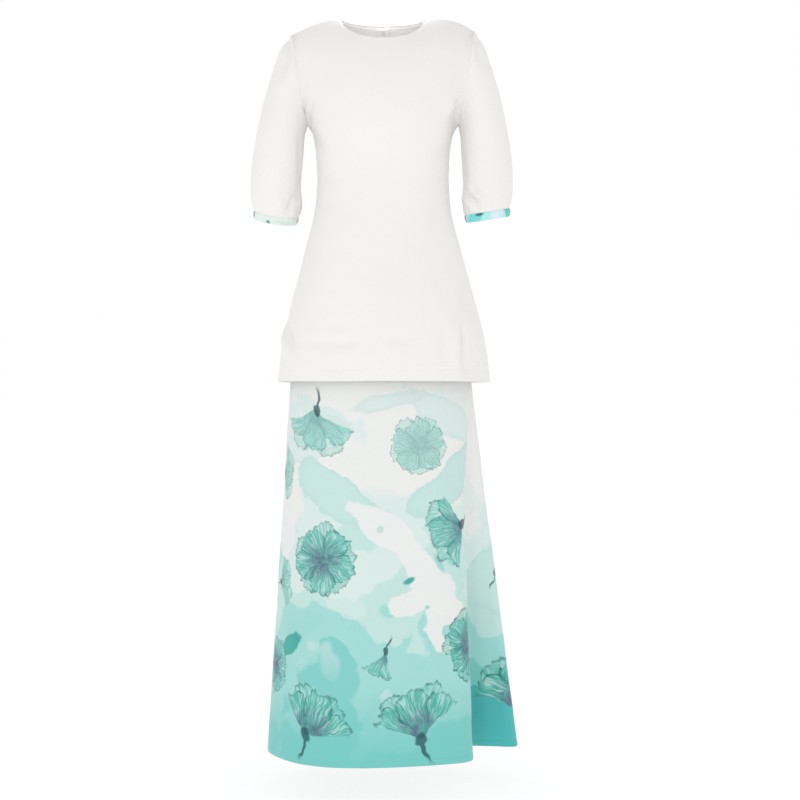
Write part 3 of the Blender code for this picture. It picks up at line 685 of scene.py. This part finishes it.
def add_rim(faces, bake, start, end, at_start, at_end, strip):
    """Two rows of faces that close the piece along one edge, from its outer to its inner side."""
    for first, second, left in ((0, 2, strip), (2, 1, strip + NEXT_HALF_RIM)):
        quads = [(first, *start), (first, *end), (second, *end), (second, *start)]
        stacked = [np.stack([np.full(len(rows), layer), rows, columns], axis=-1)
                   for layer, rows, columns in quads]
        faces.append(np.stack(stacked, axis=1))
        right = left + RIM_BAKE[1]
        corners = ((left, at_start), (left, at_end), (right, at_end), (right, at_start))
        bake.append(np.stack([np.stack([np.full(len(v), u), v], axis=-1) for u, v in corners], axis=1))


def keep_uv(data, name, values):
    layer = data.uv_layers.new(name=name)
    layer.data.foreach_set("uv", np.ascontiguousarray(values, dtype=np.float32).ravel())


def pattern_of(points, closed, x_start=0.0, x_line=0):
    """Places on the cut cloth, in metres: across from one line of the grid, and up from the hem."""
    if closed:
        points = np.concatenate([points, points[:, :1]], axis=1)
    across = lengths(points, 1)
    across = across - across[:, x_line:x_line + 1] + x_start
    return np.stack([across, lengths(points, 0)], axis=-1)


def dress(name, points, relief, thickness, closed=False, flip=False, free=(), pattern=None):
    """Makes one piece of cloth: the surface, moved by its relief, with its thickness inside."""
    moved = points + normals(points, closed, flip) * relief[..., None]
    inner = moved - normals(moved, closed, flip) * thickness
    if pattern is None:
        pattern = pattern_of(points, closed)
    return shell(name, moved, inner, pattern, closed, flip, free)


# Pieces

def tunic_panel(name, first, last, back):
    """A panel of the tunic's body, from one turn to another."""
    marks = [first, last] + ([] if back else [NECK_END, -NECK_END])
    across = places(first, last, TURN_STEP, marks)
    up = places(TUNIC_HEM_Z, CHEST_Z, STEP, (TUNIC_HEM_Z, TUNIC_HEM_Z + TUNIC_HEM))
    up += [CHEST_Z + rise for rise in places(0, 1, YOKE_STEP, (1,))[1:]]
    points = grid(body_point, across, up)
    out = normals(points)
    turns = np.array(across)
    share = np.array([quarter(turn)[2] for turn in across])
    along, rise = lengths(points, 1), lengths(points, 0)
    from_left, from_right = along, along[:, -1:] - along
    from_top = rise[-1:] - rise
    sewn_top = smooth_step(NECK_END - 0.01, NECK_END + 0.01, share)
    z = points[..., 2]
    relief = crease_relief(points, out, BACK_CREASES if back else FRONT_CREASES, 1 if back else -1)
    flare = smooth_step(-0.4, -0.66, z)
    relief += flare * (0.0026 * np.sin(turns * 7.4 + 0.5) + 0.0016 * np.sin(turns * 12.6 + 2.0))
    relief += 0.001 * drape(points, 0.075, 1)
    waist = smooth_step(-0.235, -0.255, z) * smooth_step(-0.35, -0.325, z)
    relief = np.maximum(relief, -0.0007 - 0.02 * (1 - waist))
    relief *= off_seam(from_left) * off_seam(from_right) * (1 - sewn_top * (1 - off_seam(from_top)))
    relief += groove(from_left) + groove(from_right) + sewn_top * groove(from_top)
    relief += groove(rise - TUNIC_HEM, 0.0004, 0.0016)
    neck = (1 - sewn_top) * smooth_step(CHEST_Z, CHEST_Z + 0.05, z)
    relief += neck * (0.0004 * (1 - smooth_step(0.005, 0.0075, from_top)))
    return dress(name, points, relief, CLOTH, free=("bottom", "top"))


def sleeve(arm):
    around = circle(SLEEVE_COLUMNS)
    along = places(0, 1, SLEEVE_STEP, (0, 1))
    flip = arm.side < 0
    points = grid(lambda angle, at: sleeve_point(arm, at, angle), around, along)
    out = normals(points, True, flip)
    down = lengths(points, 0)
    from_cuff = down[-1:] - down
    relief = sum(crease_relief(points, out, SLEEVE_CREASES[arm.name], face, arm.side) for face in (-1, 1))
    relief += 0.0012 * drape(points, 0.055, 2 + arm.side)
    relief *= off_seam(down, 0.01) * off_seam(from_cuff, 0.005)
    under = np.abs(np.array(around) - math.pi) * 0.05
    relief += groove(down) + groove(from_cuff, 0.0012) + groove(under, 0.0007, 0.002)
    return dress(f"sleeve_{arm.name}_cloth", points, relief, CLOTH, True, flip)


def cuff(arm):
    around = circle(CUFF_COLUMNS)
    down = places(0, 1, CUFF_STEP, (0, 1))
    flip = arm.side < 0
    points = grid(lambda angle, at: cuff_point(arm, at, angle), around, down)
    at = np.array(down)[:, None]
    turn = np.array(around)
    folds = np.cos(9 * turn + 1) + 0.7 * np.cos(19 * turn + 2.4)
    relief = 0.0009 * np.sin(math.pi * at) + 0.0006 * folds * smooth_step(0, 0.5, at)
    relief += groove(at * CUFF_HEIGHT, 0.001, 0.0018)
    relief += groove(np.abs(turn - math.pi) * 0.04, 0.0005, 0.002)
    pattern = pattern_of(points, True, 0.0 if arm.side > 0 else RIGHT_CUFF_START)
    return dress(f"cuff_{arm.name}_cloth", points, relief, CUFF_CLOTH, True, flip, ("top",), pattern)


def skirt_panel(name, first, last, creases, back):
    across = places(first, last, SKIRT_TURN_STEP, (first, last))
    up = places(SKIRT_HEM_Z, FOLD_TOP + 0.03, SKIRT_STEP, (SKIRT_HEM_Z, SKIRT_HEM_Z + SKIRT_HEM))
    up += places(up[-1], WAISTBAND_BOTTOM, HIDDEN_STEP)[1:]
    points = grid(skirt_point, across, up)
    out = normals(points)
    along, rise = lengths(points, 1), lengths(points, 0)
    relief = crease_relief(points, out, creases, 1 if back else -1)
    low = smooth_step(-0.62, -0.9, points[..., 2])
    relief += low * 0.0016 * drape(points, 0.085, 5 + back)
    relief *= off_seam(along, 0.012) * off_seam(along[:, -1:] - along, 0.012)
    relief += groove(along) + groove(along[:, -1:] - along)
    relief += groove(rise - SKIRT_HEM, 0.0006, 0.0016)
    line = 0 if back else np.argmin(np.abs(across))
    pattern = pattern_of(points, False, BACK_PRINT_START if back else 0, line)
    return dress(name, points, relief, CLOTH, free=("bottom", "top"), pattern=pattern)


def waistband():
    """The elastic band under the tunic, finely gathered."""
    turns = [4 * k / BAND_COLUMNS for k in range(BAND_COLUMNS)]
    up = places(WAISTBAND_BOTTOM + SEAM_GAP, WAISTBAND_TOP, BAND_STEP)
    points = grid(body_point, turns, up)
    points -= normals(points, True, False) * (CLOTH + SEAM_GAP + 0.0006)
    at = np.linspace(0, 1, len(up))[:, None]
    ribs = np.array([math.sin(70 * math.pi * turn) for turn in turns])
    relief = 0.0004 * ribs * np.sin(math.pi * at) - 0.0004
    return dress("skirt_waistband_cloth", points, relief, WAISTBAND_CLOTH, True, free=("bottom", "top"))


def zip_strip(name, strip):
    """A strip inside the centre-back seam: the zip's tape, or its coil with teeth."""
    across = np.linspace(-1, 1, strip.columns)
    risen = places(0, 1, strip.yoke_step)[1:-strip.short]
    points = []
    for height in places(strip.bottom, CHEST_Z, strip.step) + [CHEST_Z + rise for rise in risen]:
        middle = body_point(2, height)
        rising = (body_point(2, height + 0.002) - middle).normalized()
        base = middle - rising.cross(Vector((1, 0, 0))) * (CLOTH + 0.0016 + strip.lift)
        points.append([base - Vector((strip.half_width * share, 0, 0)) for share in across])
    points = np.array(points)
    relief = np.zeros(points.shape[:2])
    if strip.teeth:
        relief -= 0.00035 * np.cos(lengths(points, 0) * 2 * math.pi / strip.teeth)
        relief -= 0.0006 * np.abs(across) ** 3
    return dress(name, points, relief, strip.thickness, free=("bottom", "top", "left", "right"))


# Materials

def linear(colour):
    """A colour from 0 to 255, as the shader's linear light."""
    parts = [part / 255 for part in colour]
    return tuple(part / 12.92 if part <= 0.04045 else ((part + 0.055) / 1.055) ** 2.4 for part in parts)


def plug(tree, socket, value):
    if isinstance(value, Field):
        tree.links.new(value.socket, socket)
    elif isinstance(value, bpy.types.NodeSocket):
        tree.links.new(value, socket)
    else:
        socket.default_value = value


class Field:
    """A number that varies over the cloth, worked out by shader nodes; it adds and multiplies like one."""

    def __init__(self, tree, socket):
        self.tree, self.socket = tree, socket

    def math(self, operation, *others):
        made = self.tree.nodes.new("ShaderNodeMath")
        made.operation = operation
        for socket, value in zip(made.inputs, (self, *others)):
            plug(self.tree, socket, value)
        return Field(self.tree, made.outputs[0])

    def __add__(self, other):
        return self.math("ADD", other)

    def __sub__(self, other):
        return self.math("SUBTRACT", other)

    def __mul__(self, other):
        return self.math("MULTIPLY", other)

    def __truediv__(self, other):
        return self.math("DIVIDE", other)

    def step(self, low, high):
        """Goes smoothly from 0 where it is low to 1 where it is high."""
        made = self.tree.nodes.new("ShaderNodeMapRange")
        made.interpolation_type = "SMOOTHSTEP"
        for name, value in (("Value", self), ("From Min", low), ("From Max", high)):
            plug(self.tree, made.inputs[name], value)
        return Field(self.tree, made.outputs[0])


def parts_of(tree, socket):
    parts = tree.nodes.new("ShaderNodeSeparateXYZ")
    tree.links.new(socket, parts.inputs[0])
    return [Field(tree, part) for part in parts.outputs]


def place_fields(tree, kind="Object"):
    """The place on the piece, in metres, or another kind of place."""
    return parts_of(tree, tree.nodes.new("ShaderNodeTexCoord").outputs[kind])


def uv_fields(tree, name):
    source = tree.nodes.new("ShaderNodeUVMap")
    source.uv_map = name
    return parts_of(tree, source.outputs[0])[:2]


def noise_field(tree, x, y, seed, scale, detail=2.0, roughness=0.5):
    """Noise between 0 and 1 over two numbers."""
    place = tree.nodes.new("ShaderNodeCombineXYZ")
    for socket, value in zip(place.inputs, (x, y, seed)):
        plug(tree, socket, value)
    made = tree.nodes.new("ShaderNodeTexNoise")
    tree.links.new(place.outputs[0], made.inputs["Vector"])
    made.inputs["Scale"].default_value = scale
    made.inputs["Detail"].default_value = detail
    made.inputs["Roughness"].default_value = roughness
    return Field(tree, made.outputs[0])


def blend(tree, amount, first, second, mode="MIX"):
    """Mixes two colours, each a socket or a colour from 0 to 255."""
    made = tree.nodes.new("ShaderNodeMix")
    made.data_type = "RGBA"
    made.blend_type = mode
    plug(tree, made.inputs[0], amount)
    for socket, colour in ((made.inputs[6], first), (made.inputs[7], second)):
        plug(tree, socket, (*linear(colour), 1) if isinstance(colour, tuple) else colour)
    return made.outputs[2]


def new_material(name, look):
    """A material with numbers and colours set on its shader's own sockets."""
    made = bpy.data.materials.new(name)
    made.use_nodes = True
    shader = made.node_tree.nodes["Principled BSDF"]
    for socket, value in look.items():
        shader.inputs[socket].default_value = value
    return made, made.node_tree, shader


def bump(tree, normal, height, strength, distance):
    made = tree.nodes.new("ShaderNodeBump")
    made.inputs["Strength"].default_value = strength
    made.inputs["Distance"].default_value = distance
    plug(tree, made.inputs["Height"], height)
    tree.links.new(made.outputs[0], normal)
    return made.inputs["Normal"]


def cloth_material(name, sheen=0.25):
    """Matt crepe: a fine pebbled weave, slow unevenness and a soft sheen. Its colour is plugged in after."""
    made, tree, shader = new_material(name, {"Specular IOR Level": 0.22, "Sheen Weight": sheen,
                                             "Sheen Roughness": 0.45})
    x, y, z = place_fields(tree)
    weave = noise_field(tree, x, y, z, 1100, 2.0, 0.6)
    slub = noise_field(tree, x * 0.35, y * 0.35, z * 2.4, 260, 1.0, 0.5)
    soft = noise_field(tree, x, y, z, 16, 2.0, 0.45)
    under = bump(tree, shader.inputs["Normal"], weave + slub * 0.5, 0.3, 0.0003)
    bump(tree, under, soft, 0.35, 0.004)
    plug(tree, shader.inputs["Roughness"], weave * 0.1 + 0.62)
    return made, tree, shader, weave


def white_crepe():
    made, tree, shader, weave = cloth_material("white_crepe")
    cloud = noise_field(tree, *place_fields(tree), 9)
    tone = blend(tree, cloud.step(0.35, 0.7), WHITE, WHITE_CLOUD)
    # Painted shade: where the weave's bump is low, the white is darkened towards a grey.
    weave_shaded = blend(tree, weave.step(0.62, 0.3) * 0.5, tone, WHITE_WEAVE_SHADE)
    tree.links.new(weave_shaded, shader.inputs["Base Color"])
    return made


def paint_patches(tree, x, y, colour, patches):
    """Lays watercolour patches over a colour; each has a darker rim where the paint dried."""
    rough = noise_field(tree, x, y, 3.7, 30, 4.0, 0.66)
    slow = noise_field(tree, x, y, 8.1, 9, 1.0, 0.5)
    for patch in patches:
        turn = math.radians(patch.turn)
        right, up = x - patch.x, y - patch.y
        along = (right * math.cos(turn) + up * math.sin(turn)) / patch.half_width
        across = (up * math.cos(turn) - right * math.sin(turn)) / patch.half_height
        size = min(patch.half_width, patch.half_height)
        edge = rough * (patch.ragged * 3.0) + slow * 1.5 - (patch.ragged * 1.5 + 0.75)
        away = (along * along + across * across).math("SQRT") + edge
        soft = 0.0018 / size
        inside = away.step(1 + soft, 1 - soft)
        colour = blend(tree, inside * 0.92, colour, patch.colour)
        if patch.colour != GROUND:
            rim = inside * away.step(1 - 6 * soft, 1 - soft) * 0.14
            colour = blend(tree, rim, colour, tuple(int(part * 0.84) for part in patch.colour))
    return colour


def washes(tree, x, y):
    """The cloth's ground: near white at the waist, with tide-lined aqua washes that deepen to the hem."""
    slow = noise_field(tree, x, y, 0.4, 5.2, 3.0, 0.5)
    ragged = noise_field(tree, x, y, 5.9, 34, 3.0, 0.6)
    wet = slow * 1.15 + ragged * 0.1 - y * 1.05
    colour = blend(tree, wet.step(0.07, 0.12), GROUND, PALE_WASH)
    colour = blend(tree, wet.step(0.21, 0.235), colour, LIGHT_WASH)
    colour = blend(tree, wet.step(0.34, 0.365), colour, MID_WASH)
    colour = blend(tree, wet.step(0.53, 0.56) * 0.7, colour, DEEP_WASH)
    colour = blend(tree, y.step(0.17, 0.0) * 0.85, colour, DEEP_WASH)
    pool = noise_field(tree, x, y, 11.0, 14, 3.0, 0.55)
    deeper = y.step(0.5, 0.05) * 0.3
    colour = blend(tree, pool.step(0.5, 0.8) * deeper, colour, DEEP_WASH)
    thin = noise_field(tree, x, y, 17.0, 7)
    return blend(tree, thin.step(0.56, 0.6) * y.step(0.12, 0.22) * 0.45, colour, PALE_WASH)


def paint_petals(tree, colour, flower, phase, swell, strength):
    """One layer of soft ragged petals: a streaked wash with pale lights, veins and a broken dark rim."""
    petals, away, angle, seed, wobble, window, depth = flower
    lobe = (angle * petals * 0.5 + phase).math("COSINE").math("ABSOLUTE")
    ruffle = noise_field(tree, angle * 1.5, seed + phase, 0.0, 3.0, 3.0, 0.6)
    reach = lobe.math("POWER", 0.5) * 0.26 + 0.66 + (ruffle - 0.5) * 0.38
    share = away / (reach * swell)
    inside = share.step(1.02, 0.97) * window
    streak = noise_field(tree, angle * 7.0, away * 1.2, seed, 3.0, 2.0, 0.6)
    tone = streak.step(0.36, 0.64) * 0.7 + lobe.step(0.75, 0.05) * 0.55 + share.step(0.55, 0.1) * 0.4
    petal = blend(tree, tone * (depth * 0.7 + 0.3), PETAL_PALE, PETAL_DEEP)
    colour = blend(tree, inside * (depth * 0.45 + 0.42) * strength, colour, petal)
    light = streak.step(0.47, 0.33) * share.step(0.3, 0.55) * share.step(1.0, 0.85)
    colour = blend(tree, light * inside * 0.38, colour, GROUND)
    main = (angle * petals * 2.2 + wobble * 4.5 + phase).math("SINE").math("ABSOLUTE")
    fine = (angle * petals * 4.7 + wobble * 7.0).math("SINE").math("ABSOLUTE")
    vein = main.step(0.2, 0.01) * share.step(0.1, 0.35) * share.step(1.05, 0.7)
    twig = fine.step(0.22, 0.02) * share.step(0.35, 0.6) * share.step(1.02, 0.8)
    lines = (vein * 0.7 + twig * 0.35).math("MINIMUM", 1.0)
    colour = blend(tree, lines * inside * (depth * 0.55 + 0.3), colour, VEIN)
    rim = share.step(0.93, 0.985) * (ruffle.step(0.4, 0.58) * 0.55 + 0.2)
    parting = lobe.step(0.1, 0.01) * share.step(0.15, 0.5) * 0.45
    return blend(tree, (rim + parting) * inside * (depth * 0.5 + 0.5), colour, INK)


def paint_flowers(tree, colour):
    """Paints the nearest flower. Its own place, spread, petals and depth are kept on the cloth."""
    right, up = uv_fields(tree, "Flower")
    spread, petals = uv_fields(tree, "FlowerKind")
    depth, seed = uv_fields(tree, "FlowerTone")
    wobble = noise_field(tree, right, up, seed, 2.2)
    wobble_up = noise_field(tree, up, right, seed + 4.0, 2.2)
    right = right + (wobble - 0.5) * 0.34
    up = up + (wobble_up - 0.5) * 0.34
    away = (right * right + up * up).math("SQRT")
    angle = up.math("ARCTAN2", right)
    bend = angle.math("ABSOLUTE") + (wobble - 0.5) * 0.5 - away * 0.12
    window = bend.step(spread + 0.04, spread - 0.04)
    flower = (petals, away, angle, seed, wobble, window, depth)
    colour = paint_petals(tree, colour, flower, math.pi / 2, 1.0, 0.7)
    colour = paint_petals(tree, colour, flower, 0.0, 0.92, 1.0)
    streak = noise_field(tree, angle * 5.0, away, seed, 3.0, 2.0, 0.6)
    blot = noise_field(tree, right, up, seed + 9.0, 7.0)
    core = (away + (streak - 0.5) * 0.6).step(0.66, 0.12) * depth * window
    colour = blend(tree, core * (blot.step(0.38, 0.58) * 0.55 + 0.35), colour, HEART)
    half_open = spread.step(2.6, 2.0)
    cup = away.step(0.12, 0.08) * half_open
    line = (up + right * right * 0.3 + (wobble - 0.5) * 0.06).math("ABSOLUTE")
    stalk = line.step(0.04, 0.018) * right.step(0.05, -0.03) * right.step(-0.55, -0.35) * half_open
    return blend(tree, (cup + stalk).math("MINIMUM", 1.0) * 0.85, colour, INK)


def printed_crepe(name, ground, patches, flowers):
    made, tree, shader, weave = cloth_material(name, 0.2)
    x, y = uv_fields(tree, "Print")
    colour = ground if isinstance(ground, tuple) else ground(tree, x, y)
    colour = paint_patches(tree, x, y, colour, patches)
    if flowers:
        colour = paint_flowers(tree, colour)
    # Painted shade: where the weave's bump is low, the print is darkened a little towards a grey teal.
    weave_shaded = blend(tree, weave.step(0.62, 0.3) * 0.1, colour, PRINT_WEAVE_SHADE)
    tree.links.new(weave_shaded, shader.inputs["Base Color"])
    return made


def keep_flowers(piece):
    """Keeps on each face of the cloth where it lies in its nearest flower, in the flower's own radii."""
    data = piece.data
    flat = np.zeros(len(data.loops) * 2, np.float32)
    data.uv_layers["Print"].data.foreach_get("uv", flat)
    places_here = flat.reshape(-1, 4, 2)
    x, y, radius, turn, spread, petals, depth = np.array(FLOWERS).T
    centres = np.stack([x, y], axis=1)
    away = np.linalg.norm(places_here.mean(axis=1)[:, None] - centres, axis=-1) / radius
    nearest = np.argmin(away, axis=1)
    turns = np.radians(turn)[nearest][:, None]
    offset = (places_here - centres[nearest][:, None]) / radius[nearest][:, None, None]
    own = np.stack([offset[..., 0] * np.cos(turns) + offset[..., 1] * np.sin(turns),
                    offset[..., 1] * np.cos(turns) - offset[..., 0] * np.sin(turns)], axis=-1)
    keep_uv(data, "Flower", own)
    window = np.radians(spread) + 0.5 * (spread >= 180)
    for name, pair in (("FlowerKind", (window, petals)), ("FlowerTone", (depth, 1.7 * np.arange(len(x))))):
        keep_uv(data, name, np.repeat(np.stack(pair, axis=1)[nearest][:, None], 4, axis=1))


def enamel():
    """White painted zip metal, a little worn at its roughness."""
    made, tree, shader = new_material("white_enamel", {"Coat Weight": 0.4, "Coat Roughness": 0.12})
    speck = noise_field(tree, *place_fields(tree), 900)
    plug(tree, shader.inputs["Base Color"], blend(tree, speck.step(0.4, 0.8) * 0.5, ENAMEL, ENAMEL_SPECK))
    plug(tree, shader.inputs["Roughness"], speck * 0.14 + 0.24)
    return made


# Room, light and camera

def room():
    world = bpy.data.worlds.new("studio")
    world.use_nodes = True
    tree = world.node_tree
    colour, strength = tree.nodes["Background"].inputs[:2]
    colour.default_value = (1, 1, 1, 1)
    height = place_fields(tree, "Generated")[2]
    plug(tree, strength, height.step(1.0, 0.25) * (1 - CEILING_LIGHT) + CEILING_LIGHT)
    bpy.context.scene.world = world
    bpy.ops.mesh.primitive_plane_add(size=FLOOR_SIZE, location=(0, 0, FLOOR_Z))
    floor = bpy.context.object
    floor.name = "floor"
    floor.data.materials.append(new_material("floor", FLOOR_LOOK)[0])


def add_lamp(lamp):
    data = bpy.data.lights.new(lamp.name, "AREA")
    data.shape = "ELLIPSE"
    data.size = lamp.width
    data.size_y = lamp.height
    data.energy = lamp.watts
    item = put(lamp.name, data)
    item.visible_camera = False
    item.location = lamp.place
    aim = Vector(lamp.target) - Vector(lamp.place)
    item.rotation_euler = aim.to_track_quat("-Z", "Y").to_euler()


def camera():
    data = bpy.data.cameras.new("camera")
    data.sensor_width = 36
    data.lens = LENS
    item = put("camera", data)
    item.location = CAMERA_PLACE
    item.rotation_euler = (math.pi / 2, 0, 0)
    bpy.context.scene.camera = item


def declare(piece, node, finish):
    """Gives a piece its finish, hangs it on the garment's body and hides the frame's node that it replaces.
    """
    piece.data.materials.append(finish)
    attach(piece, "garment")
    if node:
        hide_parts(node)


def main():
    white = white_crepe()
    printed = printed_crepe("printed_crepe", washes, PATCHES, True)
    cuffs = printed_crepe("cuff_print", CUFF_GROUND, CUFF_PATCHES, False)
    for node, first, last, flat, area in (
            ("tunic_front", -1, 1, (0.46, 0.72), 0.29),
            ("tunic_back_left", 1, 2, (0.26, 0.72), 0.15),
            ("tunic_back_right", 2, 3, (0.26, 0.72), 0.15)):
        made = tunic_panel(f"{node}_cloth", first, last, node != "tunic_front")
        declare(made, node, white)
    for arm in ARMS:
        declare(sleeve(arm), f"sleeve_{arm.name}", white)
        declare(cuff(arm), f"cuff_{arm.name}", cuffs)
    for node, first, last, creases, flat, area in (
            ("skirt_front", RIGHT_SEAM - 360, LEFT_SEAM, SKIRT_FRONT_CREASES, (0.7, 1.08), 0.52),
            ("skirt_back", LEFT_SEAM, RIGHT_SEAM, SKIRT_BACK_CREASES, (0.8, 1.08), 0.62)):
        made = skirt_panel(f"{node}_cloth", first, last, creases, node == "skirt_back")
        keep_flowers(made)
        declare(made, node, printed)
    band = waistband()
    declare(band, "skirt_waistband", cuffs)
    tape = zip_strip("zip_tape", ZIP_TAPE)
    declare(tape, None, white)
    coil = zip_strip("zip_coil", ZIP_COIL)
    coil.data.materials.append(white)
    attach(coil, "garment")
    metal = enamel()
    for name in ("zip_slider", "zip_pull"):
        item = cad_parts[name]
        for place in item.material_slots:
            place.material = metal
    room()
    for lamp in LAMPS:
        add_lamp(lamp)
    camera()
    bpy.context.scene.view_settings.view_transform = "Standard"
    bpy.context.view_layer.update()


main()
